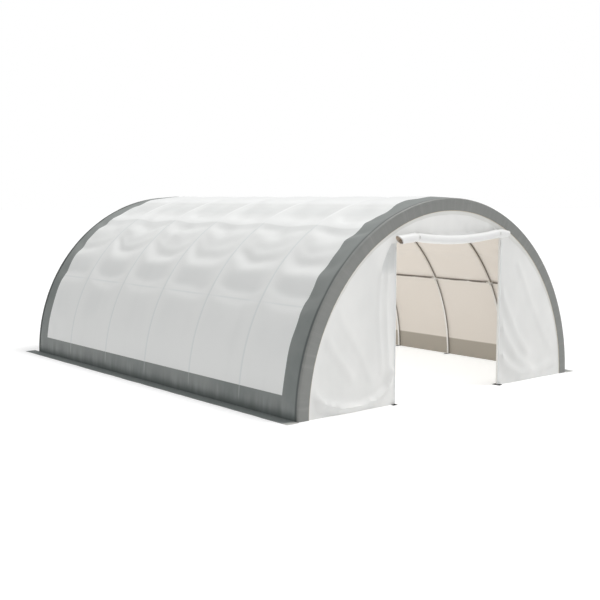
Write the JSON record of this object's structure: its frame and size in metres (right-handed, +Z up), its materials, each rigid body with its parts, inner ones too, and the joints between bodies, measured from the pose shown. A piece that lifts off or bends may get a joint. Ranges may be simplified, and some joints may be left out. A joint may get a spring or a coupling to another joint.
{
  "type": "fabric-covered hoop shelter",
  "caption": "Arched steel-hoop livestock shelter with a white fabric cover, grey borders, a closed rear wall and a fabric door rolled up and tied above the front doorway.",
  "frame": {"origin": "on the ground, at the middle of the footprint", "axes": "+X across the building to the right as seen from the door end, +Y along it from the door end to the rear, +Z up"},
  "size_m": [9.7906, 12.6883, 4.575],
  "materials": {
    "galvanised_tube": "satin",
    "galvanised_joint": "satin",
    "zinc_screw": "satin",
    "dark_foot": "matte",
    "white_cover": "satin",
    "grey_border": "satin",
    "ground_flap": "satin",
    "hem_cord": "matte",
    "white_wall": "satin",
    "white_door": "satin",
    "webbing": "matte",
    "zip_tape": "matte",
    "zip_slider": "satin"
  },
  "bodies": {
    "shelter": {"cover_border_front": "grey_border", "cover_border_rear": "grey_border", "cover_field": "white_cover", "cross_joints_left_lower": "galvanised_joint", "cross_joints_left_upper": "galvanised_joint", "cross_joints_ridge": "galvanised_joint", "cross_joints_right_lower": "galvanised_joint", "cross_joints_right_upper": "galvanised_joint", "door_curtain": "white_door", "face_band_front": "grey_border", "face_band_rear": "grey_border", "foot_border_left": "grey_border", "foot_border_right": "grey_border", "foot_plates_left": "dark_foot", "foot_plates_right": "dark_foot", "foot_screws": "zinc_screw", "front_gable": "white_wall", "front_header": "galvanised_tube", "front_post_left": "galvanised_tube", "front_post_right": "galvanised_tube", "front_wall_left": "white_wall", "front_wall_right": "white_wall", "ground_flap_left": "ground_flap", "ground_flap_right": "ground_flap", "header_tees": "galvanised_joint", "hem_cord_front": "hem_cord", "hem_cord_rear": "hem_cord", "hoop_1": "galvanised_tube", "hoop_2": "galvanised_tube", "hoop_3": "galvanised_tube", "hoop_4": "galvanised_tube", "hoop_5": "galvanised_tube", "hoop_6": "galvanised_tube", "hoop_7": "galvanised_tube", "hoop_screws": "zinc_screw", "post_clamps": "galvanised_joint", "post_feet": "dark_foot", "post_screws": "zinc_screw", "purlin_left_lower": "galvanised_tube", "purlin_left_upper": "galvanised_tube", "purlin_ridge": "galvanised_tube", "purlin_right_lower": "galvanised_tube", "purlin_right_upper": "galvanised_tube", "purlin_screws": "zinc_screw", "rear_header": "galvanised_tube", "rear_post_left": "galvanised_tube", "rear_post_right": "galvanised_tube", "rear_wall": "white_wall", "tie_tabs": "webbing", "zip_tape_left": "zip_tape", "zip_tape_right": "zip_tape"},
    "rolled_door": {"door_roll": "white_door", "door_tie_left": "webbing", "door_tie_right": "webbing"},
    "left_slider": {"zip_slider_left": "zip_slider"},
    "right_slider": {"zip_slider_right": "zip_slider"}
  },
  "joints": [
    {"name": "door_drop", "type": "slide", "parent": "shelter", "child": "rolled_door", "axis": [0, 0, -1], "range_m": [0, 3.49], "deforming": ["door_curtain"]},
    {"name": "zip_left_run", "type": "slide", "parent": "shelter", "child": "left_slider", "axis": [0, 0, -1], "range_m": [0, 3.36]},
    {"name": "zip_right_run", "type": "slide", "parent": "shelter", "child": "right_slider", "axis": [0, 0, -1], "range_m": [0, 3.36]}
  ]
}
